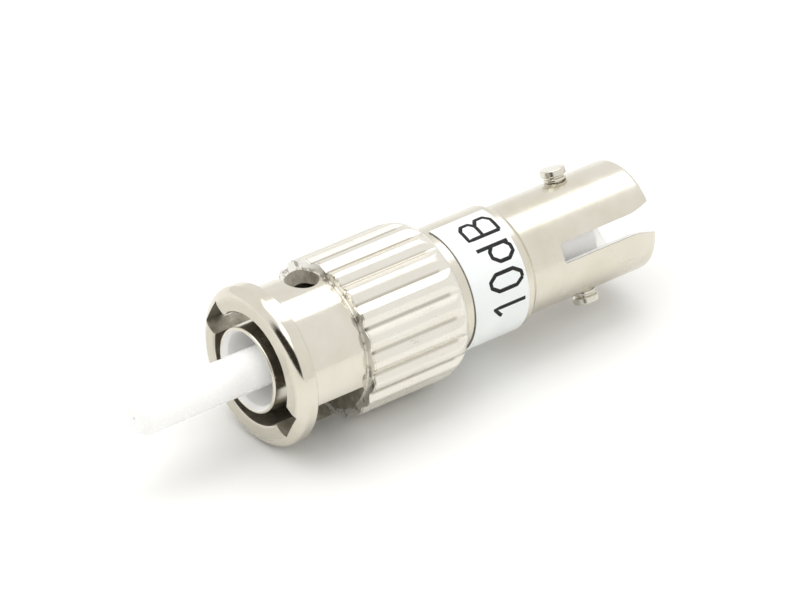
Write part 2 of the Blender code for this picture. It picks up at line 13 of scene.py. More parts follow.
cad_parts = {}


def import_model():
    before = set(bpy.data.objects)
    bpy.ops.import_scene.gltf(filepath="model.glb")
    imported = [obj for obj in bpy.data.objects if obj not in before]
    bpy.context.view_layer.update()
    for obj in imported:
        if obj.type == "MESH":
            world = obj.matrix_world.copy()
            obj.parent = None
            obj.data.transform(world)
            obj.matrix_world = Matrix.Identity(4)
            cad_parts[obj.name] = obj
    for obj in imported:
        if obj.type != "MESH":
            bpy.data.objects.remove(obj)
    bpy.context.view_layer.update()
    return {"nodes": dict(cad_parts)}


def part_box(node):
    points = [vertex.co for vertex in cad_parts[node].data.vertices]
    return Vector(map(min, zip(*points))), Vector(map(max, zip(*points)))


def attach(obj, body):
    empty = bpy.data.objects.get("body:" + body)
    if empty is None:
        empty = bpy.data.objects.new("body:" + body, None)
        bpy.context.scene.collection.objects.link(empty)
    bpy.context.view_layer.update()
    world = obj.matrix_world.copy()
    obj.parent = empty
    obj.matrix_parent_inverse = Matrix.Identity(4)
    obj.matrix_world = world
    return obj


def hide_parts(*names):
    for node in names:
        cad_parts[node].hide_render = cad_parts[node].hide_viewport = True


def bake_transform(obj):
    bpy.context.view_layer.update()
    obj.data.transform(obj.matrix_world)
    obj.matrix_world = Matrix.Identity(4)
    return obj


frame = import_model()

MM = 0.001


def span(name):
    """First and last station of a CAD node."""
    low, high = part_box(name)
    return low.x / MM, high.x / MM


def reach(name):
    """Half a CAD node's width across the axis."""
    low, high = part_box(name)
    return (high.y - low.y) / 2 / MM


AXIS_HEIGHT = (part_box("ferrule")[0].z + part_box("ferrule")[1].z) / 2 / MM
NUT_FRONT, NUT_REAR = span("coupling_nut")
BARREL_FACE, BARREL_END = span("plug_barrel")
BODY_FRONT, BODY_REAR = span("centre_body")
LABEL_FRONT, LABEL_REAR = span("rating_label")
SOCKET_FRONT, RIM = span("receptacle")
HOLDER_FRONT, NOSE_TIP = span("sleeve_holder")
FERRULE_TIP, FERRULE_END = span("ferrule")
BARREL_RADIUS = reach("plug_barrel")
BODY_RADIUS = reach("centre_body")
SOCKET_RADIUS = reach("receptacle")
FERRULE_RADIUS = reach("ferrule")
NUT_FLAT = reach("coupling_nut")

# Gaps between pressed and between sliding pieces, as in the CAD
SEAT = 0.02
RUN = 0.05

# Clock angles that the CAD pieces are cut at
KEY_CLOCK = 63.1
ENTRY_CLOCK = -64.5
LOCK_TURN = 54.0
LABEL_CLOCK = -11.9
LABEL_WRAP = 250.0
FLUTES = 20

# How finely pieces are turned, and the sharpest edge that is shaded smooth, in degrees
TURN_STEPS = 192
NUT_STEPS = 600
SHARP_ANGLE = 38

# Distance of an outline's holding points from its fillets
HOLD = 0.03

# Coupling nut, stations counted from its front plane
FLANGE_RADIUS = NUT_FLAT
FLANGE_REAR = 1.35
CROWN_ACROSS, CROWN_ALONG = 0.85, 0.62
CROWN_FULLNESS = 1.25
NUT_WAIST = 4.38
NUT_BORE = 3.55
NUT_LIP = 0.9
GRIP_START = 5.5
RELIEF = 0.07
GRIP_CREST = 5.0
CREST_LENGTH = 6.1
GRIP_VALLEY = 4.73
GROOVE_HALF_ANGLE = 5.8
GROOVE_ROOT = 0.18
SHOULDER = 0.035
GRIP_FALL = 0.6
GRIP_TAPER = 1.2
ENTRY_WIDTH, ENTRY_CORNER = 2.1, 0.3
LEG_FRONT, LEG_REAR = 3.6, 5.3
LOCK_STATION, LOCK_RADIUS = 4.35, 1.05
SLOT_FLOOR, SLOT_CEILING = NUT_BORE - 0.6, 4.45

# Ferrule and barrel
FIBRE_BORE = 0.083
TIP_CHAMFER, TIP_LENGTH, TIP_DOME = 0.36, 0.42, 0.03
RECESS_RADIUS = 2.35
RECESS_DEPTH = 4.6
RECESS_FLARE = 0.2
RECESS_WEB = 1.2
RING_GROOVE = 0.32
BARREL_STEP = 5.13
TAIL_RADIUS, TAIL_BORE = 2.48, 2.02

# Centre body and label
BODY_BORE, BODY_BORE_DEPTH = 3.32, 3.72
FILM = 0.07
LABEL_INSIDE = BODY_RADIUS + SEAT
LABEL_OUTSIDE = LABEL_INSIDE + FILM

# Socket, its nose and lugs
SPIGOT_RADIUS = SOCKET_RADIUS - 0.2
SOCKET_BORE = 2.9
SOCKET_FLOOR = RIM - 8.1
SOCKET_WEB = 0.8
SOCKET_POCKET = 2.5
NOSE_RADIUS, NOSE_BORE = 2.2, 1.6
HOLDER_RADIUS, HOLDER_BORE = 2.0, 1.62
HOLDER_FLANGE, HOLDER_FLANGE_LENGTH = 2.48, 1.0
KEYWAY_WIDTH = 1.3
KEYWAY_LENGTH = 7.0
KEYWAY_CORNER = 0.12
FLARE_LENGTH, FLARE_WIDTH = 1.9, 0.38
LUG_STATION = RIM - 4.0
LUG_REACH = SOCKET_RADIUS + 0.78
LUG_SHANK, LUG_COLLAR, LUG_WAIST, LUG_HEAD = 0.55, 0.70, 0.60, 0.80

# Alignment key and spring
KEY_FOOT, KEY_TOP = BARREL_RADIUS - 0.975, BARREL_RADIUS + 0.575
WIRE_RADIUS = 0.2
SPRING_TURNS = 3.25
CLOSED_SHARE = 0.08


# Shapes

def rounded(corners, steps=5):
    """Points of a closed outline from (radius, station, fillet) corners.

    Each fillet is an arc. Where there is room, a point beside it holds the straight stretch flat in
    shading.
    """
    points = []
    for i, (radius, station, fillet) in enumerate(corners):
        here = Vector((radius, station))
        if not fillet:
            points.append(here)
            continue
        before, after = corners[i - 1], corners[(i + 1) % len(corners)]
        back, ahead = Vector(before[:2]) - here, Vector(after[:2]) - here
        half = back.angle(ahead) / 2
        cut = fillet / tan(half)
        room_before = back.length > cut + before[2] + 4 * HOLD
        room_after = ahead.length > cut + after[2] + 4 * HOLD
        back.normalize()
        ahead.normalize()
        centre = here + (back + ahead).normalized() * fillet / sin(half)
        first, last = here + back * cut - centre, here + ahead * cut - centre
        sweep = first.angle(last)
        if room_before:
            points.append(here + back * (cut + HOLD))
        for k in range(steps + 1):
            share = k / steps
            turned_to = first * sin((1 - share) * sweep) + last * sin(share * sweep)
            points.append(centre + turned_to / sin(sweep))
        if room_after:
            points.append(here + ahead * (cut + HOLD))
    return points


def smoothed(mesh):
    """Shades a mesh smooth, except at its sharp edges."""
    mesh.shade_smooth()
    mesh.set_sharp_from_angle(angle=radians(SHARP_ANGLE))


def mesh_object(name, bm):
    """A finished object of a bmesh, its faces pointing outwards."""
    bmesh.ops.recalc_face_normals(bm, faces=bm.faces)
    mesh = bpy.data.meshes.new(name)
    bm.to_mesh(mesh)
    bm.free()
    smoothed(mesh)
    obj = bpy.data.objects.new(name, mesh)
    bpy.context.scene.collection.objects.link(obj)
    return obj


def spun(points, steps, angle=360.0, clock=0.0):
    """A bmesh of an outline spun about the axis from a clock angle; less than a full turn is capped."""
    bm = bmesh.new()
    ring = [bm.verts.new((x * MM, 0, (AXIS_HEIGHT + r) * MM)) for r, x in points]
    edges = [bm.edges.new(pair) for pair in zip(ring, ring[1:] + ring[:1])]
    axis = Vector((0, 0, AXIS_HEIGHT * MM))
    start = Matrix.Rotation(radians(clock), 3, "X")
    bmesh.ops.rotate(bm, cent=axis, matrix=start, verts=ring)
    full = angle == 360.0
    if not full:
        bm.faces.new(ring)
    made = bmesh.ops.spin(
        bm, geom=ring + edges, cent=axis, axis=(1, 0, 0), angle=radians(angle), steps=steps, use_merge=full
    )
    if not full:
        bm.faces.new([v for v in made["geom_last"] if isinstance(v, bmesh.types.BMVert)])
    return bm


def turned(name, corners):
    return mesh_object(name, spun(rounded(corners), TURN_STEPS))


def clock_of(co):
    return degrees(atan2(-co.y, co.z - AXIS_HEIGHT * MM))


def boolean(obj, other, operation):
    """Cuts or joins another object into this one and removes the other."""
    step = obj.modifiers.new(operation, "BOOLEAN")
    step.operation = operation
    step.material_mode = "TRANSFER"
    step.object = other
    graph = bpy.context.evaluated_depsgraph_get()
    mesh = bpy.data.meshes.new_from_object(obj.evaluated_get(graph))
    obj.modifiers.clear()
    obj.data = mesh
    bpy.data.objects.remove(other)
    return obj


def cut_out(obj, cutter, look):
    """Cuts a cutter out of this object and gives the new walls a look."""
    cutter.data.materials.clear()
    cutter.data.materials.append(look)
    boolean(obj, cutter, "DIFFERENCE")


def stand_at(bm, station, clock):
    """Moves a mesh made about the origin, Z outwards, to a clock angle and station of the axis."""
    lifted = Matrix.Translation((station * MM, 0, AXIS_HEIGHT * MM))
    clocked = Matrix.Rotation(radians(clock), 4, "X")
    bmesh.ops.transform(bm, matrix=lifted @ clocked, verts=bm.verts)


def block(name, inside, outside, width, front, rear, clock, corner):
    """A box that lies radially at a clock angle, its radial edges rounded."""
    bm = bmesh.new()
    bmesh.ops.create_cube(bm, size=1)
    bmesh.ops.scale(bm, vec=((rear - front) * MM, width * MM, (outside - inside) * MM), verts=bm.verts)
    centre = Vector((front + rear, 0, inside + outside)) / 2 * MM
    bmesh.ops.translate(bm, vec=centre, verts=bm.verts)
    radial = [e for e in bm.edges if abs(e.verts[0].co.z - e.verts[1].co.z) > 0.01 * MM]
    bmesh.ops.bevel(
        bm, geom=radial, offset=corner * MM, segments=6, profile=0.5, affect="EDGES", material=-1
    )
    stand_at(bm, 0, clock)
    return mesh_object(name, bm)


def pin(name, points, station, clock, steps=64):
    """A solid pin turned about a radial line: points are (pin radius, distance from the axis)."""
    bm = bmesh.new()
    line = [bm.verts.new((r * MM, 0, h * MM)) for r, h in points]
    edges = [bm.edges.new(pair) for pair in zip(line, line[1:])]
    bmesh.ops.spin(
        bm, geom=line + edges, cent=(0, 0, 0), axis=(0, 0, 1), angle=2 * pi, steps=steps, use_merge=True
    )
    for height in (points[0][1], points[-1][1]):
        rim = [e for e in bm.edges if e.is_boundary and abs(e.verts[0].co.z - height * MM) < 1e-8]
        bmesh.ops.contextual_create(bm, geom=rim)
    stand_at(bm, station, clock)
    return mesh_object(name, bm)


def round_wires(name, paths, radius, resolution):
    """A bmesh of round wires through the points of each path, all in millimetres."""
    curve = bpy.data.curves.new(name, "CURVE")
    curve.dimensions = "3D"
    curve.bevel_depth = radius * MM
    curve.bevel_resolution = resolution
    curve.use_fill_caps = True
    for path in paths:
        spline = curve.splines.new("POLY")
        spline.points.add(len(path) - 1)
        for point, place in zip(spline.points, path):
            point.co = (*(place * MM), 1)
    drawn = bpy.data.objects.new(name, curve)
    bpy.context.scene.collection.objects.link(drawn)
    graph = bpy.context.evaluated_depsgraph_get()
    mesh = bpy.data.meshes.new_from_object(drawn.evaluated_get(graph))
    bpy.data.objects.remove(drawn)
    bm = bmesh.new()
    bm.from_mesh(mesh)
    return bm


# Materials

def clean_material(name):
    """A new material, its node tree and its shader."""
    made = bpy.data.materials.new(name)
    made.use_nodes = True
    return made, made.node_tree, made.node_tree.nodes["Principled BSDF"]


def node(tree, kind, **values):
    made = tree.nodes.new("ShaderNode" + kind)
    for key, value in values.items():
        setattr(made, key, value)
    return made


def feed(tree, socket, value):
    """Puts another node's output, a number or a colour into a socket."""
    if isinstance(value, bpy.types.NodeSocket):
        tree.links.new(value, socket)
    elif isinstance(value, tuple):
        socket.default_value = (*value, 1.0)
    else:
        socket.default_value = value


def noise(tree, vector, scale, detail=3.0, rough=0.5):
    made = node(tree, "TexNoise")
    feed(tree, made.inputs["Vector"], vector)
    feed(tree, made.inputs["Scale"], scale)
    feed(tree, made.inputs["Detail"], detail)
    feed(tree, made.inputs["Roughness"], rough)
    return made.outputs["Fac"]


def ramp(tree, factor, stops):
    """A colour ramp: stops are (position, colour)."""
    made = node(tree, "ValToRGB")
    while len(made.color_ramp.elements) < len(stops):
        made.color_ramp.elements.new(0.5)
    for element, (position, colour) in zip(made.color_ramp.elements, stops):
        element.position = position
        element.color = (*colour, 1.0)
    feed(tree, made.inputs["Fac"], factor)
    return made.outputs["Color"]


def clouded(tree, vector, scale, dark, pale, low=0.3, high=0.7):
    """A colour that drifts between two tints."""
    return ramp(tree, noise(tree, vector, scale), [(low, dark), (high, pale)])


def maths(tree, operation, *values):
    made = node(tree, "Math", operation=operation)
    for socket, value in zip(made.inputs, values):
        feed(tree, socket, value)
    return made.outputs["Value"]


def product(tree, first, *others):
    for other in others:
        first = maths(tree, "MULTIPLY", first, other)
    return first


def combined(tree, *values):
    """A vector of three values."""
    made = node(tree, "CombineXYZ")
    for socket, value in zip(made.inputs, values):
        feed(tree, socket, value)
    return made.outputs["Vector"]


def mixed(tree, factor, a, b):
    """A colour a, replaced by the colour b where the factor is 1."""
    made = node(tree, "Mix", data_type="RGBA")
    for key, value in (("Factor", factor), ("A", a), ("B", b)):
        feed(tree, made.inputs[key], value)
    return made.outputs["Result"]


def spread(tree, value, start, end, low, high):
    """A value between start and end, spread over low to high."""
    made = node(tree, "MapRange")
    limits = (("From Min", start), ("From Max", end), ("To Min", low), ("To Max", high))
    for key, number in (("Value", value), *limits):
        feed(tree, made.inputs[key], number)
    return made.outputs["Result"]


def step_up(tree, value, start, end):
    """0 on start's side, 1 on end's side."""
    return spread(tree, value, start, end, 0.0, 1.0)


def band(tree, value, rise, fall):
    """1 between the rise and the fall, each a pair of millimetres that the change is spread over."""
    risen = step_up(tree, value, rise[0] * MM, rise[1] * MM)
    not_fallen = step_up(tree, value, fall[1] * MM, fall[0] * MM)
    return product(tree, risen, not_fallen)


def bumped(tree, height, strength, distance, normal=None):
    """A bump of a depth in millimetres, on another normal if there is one."""
    made = node(tree, "Bump")
    feed(tree, made.inputs["Strength"], strength)
    feed(tree, made.inputs["Distance"], distance * MM)
    feed(tree, made.inputs["Height"], height)
    if normal:
        feed(tree, made.inputs["Normal"], normal)
    return made.outputs["Normal"]


def object_coordinates(tree):
    return node(tree, "TexCoord").outputs["Object"]


def turned_coordinates(tree, here):
    """Object coordinates as station, radius and clock turn, so that a pattern runs round the axis."""
    split = node(tree, "SeparateXYZ")
    feed(tree, split.inputs["Vector"], here)
    rise = maths(tree, "SUBTRACT", split.outputs["Z"], AXIS_HEIGHT * MM)
    across = product(tree, split.outputs["Y"], split.outputs["Y"])
    radius = maths(tree, "SQRT", maths(tree, "ADD", across, product(tree, rise, rise)))
    clock = maths(tree, "ARCTAN2", split.outputs["Y"], rise)
    return split.outputs["X"], radius, clock


def turning_marks(tree, station, radius, scale, detail=3.0, rough=0.5):
    """Noise that lies in rings round the axis."""
    return noise(tree, combined(tree, station, radius, 0.0), scale, detail, rough)


PLATE_TINTS = ((0.66, 0.615, 0.51), (0.725, 0.69, 0.605), (0.77, 0.74, 0.67))
LUG_TINTS = ((0.62, 0.59, 0.51), (0.74, 0.715, 0.645), (0.84, 0.82, 0.76))
FACE_TINT = (0.62, 0.585, 0.495)
GRIP_TINT = (0.85, 0.825, 0.765)
FOOT_TINT = (0.84, 0.825, 0.775)
GROOVE_SHADE_AND_DIRT = (0.24, 0.21, 0.15)
SCRATCH_TINT = (0.36, 0.33, 0.26)
UNDERCUT_SHADE_TINT = (0.17, 0.15, 0.12)
GROOVE_START_SHADE_TINT = (0.10, 0.085, 0.065)


def nickel(name, tints=PLATE_TINTS, smoothest=0.16, dull_face=None, grip=None):
    """Bright nickel plate with turning rings, handling smudges and a slightly warm tint.

    smoothest: the roughness of its brightest places.
    dull_face: station of a flat front face that is duller than the sides.
    grip: first station, last station and root radius of its grooves, on a plate that is worn there, with
    painted shade in the groove roots and round the grip's foot.
    """
    made, tree, shader = clean_material(name)
    here = object_coordinates(tree)
    station, radius, clock = turned_coordinates(tree, here)
    cloud = noise(tree, here, 260.0, 4.0, 0.6)
    colour = ramp(tree, cloud, list(zip((0.25, 0.55, 0.8), tints)))
    smear = noise(tree, here, 700.0, 5.0, 0.65)
    rough = spread(tree, smear, 0.3, 0.75, smoothest, smoothest + 0.10)
    edge = node(tree, "Bevel", samples=6)
    edge.inputs["Radius"].default_value = 0.05 * MM
    rings = turning_marks(tree, station, radius, 16000.0, 3.0, 0.7)
    normal = bumped(tree, rings, 0.12, 0.01, edge.outputs["Normal"])
    shader.inputs["Metallic"].default_value = 1.0
    if dull_face is not None:
        face = step_up(tree, station, (dull_face + 0.10) * MM, (dull_face + 0.01) * MM)
        colour = mixed(tree, face, colour, FACE_TINT)
        feed(tree, shader.inputs["Metallic"], spread(tree, face, 0.0, 1.0, 1.0, 0.45))
    if grip is not None:
        first, last, root = grip
        along = combined(
            tree, product(tree, station, 0.16), radius, product(tree, clock, NUT_FLAT * MM)
        )
        streaks = noise(tree, along, 3600.0, 4.0, 0.75)
        colour = grip_colour_with_groove_shade(tree, colour, streaks, station, radius, first, last, root)
        colour, foot = grip_foot(tree, colour, here, smear, station, radius, first, root)
        after = step_up(tree, station, first * MM, (first + 0.05) * MM)
        rough = maths(tree, "ADD", rough, product(tree, foot, 0.25))
        rough = maths(tree, "ADD", rough, product(tree, after, 0.16))
        normal = bumped(tree, streaks, 0.12, 0.02, normal)
    feed(tree, shader.inputs["Base Color"], colour)
    feed(tree, shader.inputs["Roughness"], rough)
    feed(tree, shader.inputs["Normal"], normal)
    return made


def grip_colour_with_groove_shade(tree, colour, streaks, station, radius, first, last, root):
    """The grip's colour: paler than the plate, with painted shade and some dirt in the groove roots, and
    scratches along the grooves.
    """
    after = step_up(tree, station, first * MM, (first + 0.05) * MM)
    colour = mixed(tree, product(tree, after, 0.6), colour, GRIP_TINT)
    # Darker towards the groove root: painted shade, as occlusion would give there, with some dirt
    low = spread(tree, radius, (root + 0.06) * MM, (root + 0.005) * MM, 0.0, 0.5)
    grooved = band(tree, station, (first, first + 0.05), (last - 0.3, last))
    colour = mixed(tree, product(tree, low, grooved), colour, GROOVE_SHADE_AND_DIRT)
    scored = product(tree, after, spread(tree, streaks, 0.66, 0.74, 0.0, 0.55))
    return mixed(tree, scored, colour, SCRATCH_TINT)


def grip_foot(tree, colour, here, smear, station, radius, first, root):
    """The colour round the grip's foot, and the mask of its matt ring.

    Ragged dark specks there are painted shade in the undercut, and a short dark tick in the root of some
    grooves is painted shade where they start.
    """
    rise = (first - 0.24, first - 0.20)
    matt = band(tree, station, rise, (first - 0.08, first - 0.04))
    colour = mixed(tree, matt, colour, FOOT_TINT)
    # Painted shade: ragged dark specks in the undercut at the grip's foot
    specks = spread(tree, noise(tree, here, 1500.0, 4.0, 0.7), 0.52, 0.60, 0.0, 0.7)
    shaded_specks = product(tree, specks, band(tree, station, rise, (first + 0.02, first + 0.12)))
    colour = mixed(tree, shaded_specks, colour, UNDERCUT_SHADE_TINT)
    # Painted shade: a short dark tick in some groove roots, in the corner where the grooves start
    deep = spread(tree, radius, (root + 0.05) * MM, (root + 0.01) * MM, 0.0, 0.9)
    shaded_starts = product(tree, deep, step_up(tree, smear, 0.46, 0.56))
    length = band(tree, station, (first - 0.095, first - 0.085), (first - 0.02, first + 0.34))
    return mixed(tree, product(tree, shaded_starts, length), colour, GROOVE_START_SHADE_TINT), matt


def stained_and_shaded_wall(name, darkest, usual, palest):
    """Walls that a cutter left bare in the nut's bore and slots: dull, brown and uneven, and darkened as
    painted shade of these hollows.
    """
    made, tree, shader = clean_material(name)
    here = object_coordinates(tree)
    cloud = noise(tree, here, 1600.0, 5.0, 0.65)
    stains_and_shade = ramp(tree, cloud, [(0.3, darkest), (0.6, usual), (0.8, palest)])
    feed(tree, shader.inputs["Base Color"], stains_and_shade)
    shader.inputs["Metallic"].default_value = 0.4
    shader.inputs["Roughness"].default_value = 0.42
    grain = noise(tree, here, 6000.0, 4.0, 0.7)
    feed(tree, shader.inputs["Normal"], bumped(tree, grain, 0.5, 0.03))
    return made


def turned_finish(name, pale, dark, roughness, metallic, cloud_scale, ring_scale):
    """A turned surface: cloudy tint and fine rings."""
    made, tree, shader = clean_material(name)
    here = object_coordinates(tree)
    station, radius, _ = turned_coordinates(tree, here)
    feed(tree, shader.inputs["Base Color"], clouded(tree, here, cloud_scale, dark, pale))
    shader.inputs["Metallic"].default_value = metallic
    shader.inputs["Roughness"].default_value = roughness
    rings = turning_marks(tree, station, radius, ring_scale)
    feed(tree, shader.inputs["Normal"], bumped(tree, rings, 0.2, 0.01))
    return made


def keyway_wall():
    """Walls of the keyway: near white inside as painted light, with a dark burr line along the outer edge.
    """
    made, tree, shader = clean_material("keyway_wall")
    here = object_coordinates(tree)
    _, radius, _ = turned_coordinates(tree, here)
    # Painted light: the near-white colour of the keyway walls
    pale = clouded(tree, here, 2200.0, (0.86, 0.85, 0.82), (0.93, 0.92, 0.90), 0.35, 0.65)
    burr = step_up(tree, radius, (SOCKET_RADIUS - 0.13) * MM, (SOCKET_RADIUS - 0.09) * MM)
    feed(tree, shader.inputs["Base Color"], mixed(tree, burr, pale, (0.16, 0.14, 0.11)))
    shader.inputs["Roughness"].default_value = 0.45
    grain = noise(tree, here, 9000.0)
    feed(tree, shader.inputs["Normal"], bumped(tree, grain, 0.3, 0.01))
    return made


def ceramic():
    """Polished white zirconia: faint cloud and clear gloss."""
    made, tree, shader = clean_material("white_zirconia")
    here = object_coordinates(tree)
    white = clouded(tree, here, 900.0, (0.955, 0.953, 0.94), (0.975, 0.973, 0.965))
    feed(tree, shader.inputs["Base Color"], white)
    rough = spread(tree, noise(tree, here, 4000.0), 0.0, 1.0, 0.2157, 0.3137)
    feed(tree, shader.inputs["Roughness"], rough)
    return made


def glass_core():
    made, tree, shader = clean_material("doped_glass_core")
    here = object_coordinates(tree)
    glass = clouded(tree, here, 6000.0, (0.52, 0.60, 0.63), (0.66, 0.73, 0.75))
    feed(tree, shader.inputs["Base Color"], glass)
    shader.inputs["Roughness"].default_value = 0.08
    return made


def film():
    """White label film: slight mottling, and a grey line along its edge beside the nut."""
    made, tree, shader = clean_material("label_film")
    here = object_coordinates(tree)
    station, _, _ = turned_coordinates(tree, here)
    white = clouded(tree, here, 350.0, (0.80, 0.835, 0.835), (0.87, 0.885, 0.875))
    edge = step_up(tree, station, (LABEL_FRONT + 0.02) * MM, (LABEL_FRONT + 0.01) * MM)
    feed(tree, shader.inputs["Base Color"], mixed(tree, edge, white, (0.30, 0.29, 0.27)))
    shader.inputs["Roughness"].default_value = 0.32
    grain = noise(tree, here, 9000.0)
    feed(tree, shader.inputs["Normal"], bumped(tree, grain, 0.1, 0.01))
    return made


def ink():
    """Flat black print, a little uneven."""
    made, tree, shader = clean_material("label_ink")
    here = object_coordinates(tree)
    black = clouded(tree, here, 3000.0, (0.012, 0.012, 0.013), (0.028, 0.027, 0.027))
    feed(tree, shader.inputs["Base Color"], black)
    shader.inputs["Roughness"].default_value = 0.6
    shader.inputs["Specular IOR Level"].default_value = 0.2
    return made


# Pieces

def dress(obj, look, body, slot, *nodes):
    """Gives a finished piece its material, unless it has its own, and its place in the frame."""
    if look:
        obj.data.materials.clear()
        obj.data.materials.append(look)
    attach(obj, body)
    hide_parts(*nodes)


def lined(obj, plate, lining, radius, front, rear):
    """Gives the piece its plate outside, and a lining inside a radius between two stations."""
    mesh = obj.data
    mesh.materials.clear()
    mesh.materials.append(plate)
    mesh.materials.append(lining)
    for face in mesh.polygons:
        arm = hypot(face.center.y, face.center.z - AXIS_HEIGHT * MM) / MM
        face.material_index = int(arm < radius and front < face.center.x / MM < rear)
    return obj


def ferrule_piece():
    return turned("white_ferrule", [
        (FIBRE_BORE, FERRULE_TIP, 0),
        (FERRULE_RADIUS - TIP_CHAMFER, FERRULE_TIP + TIP_DOME, 0.05),
        (FERRULE_RADIUS, FERRULE_TIP + TIP_LENGTH, 0.3),
        (FERRULE_RADIUS, FERRULE_END - TIP_LENGTH, 0.3),
        (FERRULE_RADIUS - TIP_CHAMFER, FERRULE_END - TIP_DOME, 0.05),
        (FIBRE_BORE, FERRULE_END, 0),
    ])


def barrel_piece(plate, lining):
    """Barrel with a deep lined recess round the ferrule, the ring's groove and its thinner tail."""
    ring_front, ring_rear = span("retaining_ring")
    floor_station = BARREL_FACE + RECESS_DEPTH
    web_rear = floor_station + RECESS_WEB
    hole = FERRULE_RADIUS + SEAT
    barrel = turned("barrel", [
        (BARREL_RADIUS, BARREL_FACE, 0.12),
        (BARREL_RADIUS, ring_front - SEAT, 0.03),
        (BARREL_RADIUS - RING_GROOVE, ring_front - SEAT, 0.03),
        (BARREL_RADIUS - RING_GROOVE, ring_rear + SEAT, 0.03),
        (BARREL_RADIUS, ring_rear + SEAT, 0.03),
        (BARREL_RADIUS, BARREL_STEP, 0.05),
        (TAIL_RADIUS, BARREL_STEP, 0.03),
        (TAIL_RADIUS, BARREL_END, 0.05),
        (TAIL_BORE, BARREL_END, 0.05),
        (TAIL_BORE, web_rear, 0),
        (hole, web_rear, 0),
        (hole, floor_station, 0.05),
        (RECESS_RADIUS, floor_station, 0.15),
        (RECESS_RADIUS, BARREL_FACE + 0.35, 0.15),
        (RECESS_RADIUS + RECESS_FLARE, BARREL_FACE, 0.03),
    ])
    inside = RECESS_RADIUS + RECESS_FLARE
    return lined(barrel, plate, lining, inside, BARREL_FACE + 0.02, floor_station + 0.1)


def flute_limit(clock):
    """Largest radius of the grip at a clock angle: V grooves with a soft root, and rounded shoulders."""
    pitch = 360 / FLUTES
    off = abs((clock + pitch / 2) % pitch - pitch / 2) / GROOVE_HALF_ANGLE
    flank = GRIP_VALLEY + (GRIP_CREST - GRIP_VALLEY) * (hypot(off, GROOVE_ROOT) - GROOVE_ROOT)
    blend = min(1, max(0, 0.5 + 0.5 * (GRIP_CREST - flank) / SHOULDER))
    return GRIP_CREST + (flank - GRIP_CREST) * blend - SHOULDER * blend * (1 - blend)


def nut_outline():
    """Outer and inner outline of the coupling nut as (radius, station) corners.

    The flange's crown is an oval rounding and the grip's rear end falls in another. The points between the
    grip's corners hold its flat foot and its straight crest.
    """
    front, rear = NUT_FRONT, NUT_REAR
    grip = front + GRIP_START
    crown = []
    for a in (pi / 2 * i / 16 for i in range(17)):
        inwards, back = 1 - sin(a) ** CROWN_FULLNESS, 1 - max(0, cos(a)) ** CROWN_FULLNESS
        crown.append((FLANGE_RADIUS - CROWN_ACROSS * inwards, front + CROWN_ALONG * back, 0))
    fall = [
        (GRIP_CREST - GRIP_FALL * (1 - cos(a)), rear - GRIP_TAPER * (1 - sin(a)), 0)
        for a in (pi / 2 * i / 12 for i in range(13))
    ]
    return [
        (NUT_BORE + 0.12, front, 0.03),
        (FLANGE_RADIUS - CROWN_ACROSS - HOLD, front, 0),
        *crown,
        (FLANGE_RADIUS, front + CROWN_ALONG + HOLD, 0),
        (FLANGE_RADIUS, front + FLANGE_REAR, 0.12),
        (NUT_WAIST, front + FLANGE_REAR, 0.08),
        (NUT_WAIST, grip - 0.15, 0.03),
        (NUT_WAIST - RELIEF, grip - 0.09, 0.02),
        (NUT_WAIST - RELIEF, grip, 0),
        *[(NUT_WAIST + (GRIP_CREST - NUT_WAIST) * i / 6, grip, 0) for i in range(6)],
        (GRIP_CREST, grip, 0.05),
        *[(GRIP_CREST, grip + CREST_LENGTH * i / 4, 0) for i in range(1, 4)],
        *fall,
        (BARREL_RADIUS + RUN, rear, 0.05),
        (BARREL_RADIUS + RUN, rear - NUT_LIP, 0.05),
        (NUT_BORE, rear - NUT_LIP, 0.05),
        (NUT_BORE, front + 0.12, 0.03),
    ]


def bayonet_slot(clock):
    """Cutter for one slot: entry leg through the flange, turning leg, round lock hole."""
    leg_front, leg_rear = NUT_FRONT + LEG_FRONT, NUT_FRONT + LEG_REAR
    slot = block(
        "entry", SLOT_FLOOR, SLOT_CEILING, ENTRY_WIDTH, NUT_FRONT - 1, leg_rear, clock, ENTRY_CORNER
    )
    turning = [
        Vector((SLOT_FLOOR, leg_front)), Vector((SLOT_CEILING, leg_front)),
        Vector((SLOT_CEILING, leg_rear)), Vector((SLOT_FLOOR, leg_rear)),
    ]
    leg = mesh_object("leg", spun(turning, 48, LOCK_TURN, clock))
    lock = [(LOCK_RADIUS, SLOT_FLOOR), (LOCK_RADIUS, SLOT_CEILING)]
    hole = pin("lock", lock, NUT_FRONT + LOCK_STATION, clock + LOCK_TURN)
    boolean(slot, leg, "UNION")
    return boolean(slot, hole, "UNION")


def nut_piece(plate, bored, milled):
    """Coupling nut: turned, then its grip fluted and its two slots milled."""
    bm = spun(rounded(nut_outline()), NUT_STEPS)
    grip = (NUT_FRONT + GRIP_START - 0.02) * MM
    axis = Vector((0, 0, AXIS_HEIGHT * MM))
    for vert in bm.verts:
        arm = Vector((0, vert.co.y, vert.co.z)) - axis
        limit = flute_limit(clock_of(vert.co)) * MM
        if vert.co.x > grip and arm.length > limit:
            moved = axis + arm * limit / arm.length
            vert.co = (vert.co.x, moved.y, moved.z)
    for face in bm.faces:
        centre = face.calc_center_median()
        arm = hypot(centre.y, centre.z - axis.z) / MM
        face.material_index = int(arm < NUT_BORE + 0.03)
    nut = mesh_object("bayonet_coupling_nut", bm)
    nut.data.materials.append(plate)
    nut.data.materials.append(bored)
    for clock in (ENTRY_CLOCK, ENTRY_CLOCK + 180):
        cut_out(nut, bayonet_slot(clock), milled)
    smoothed(nut.data)
    return nut


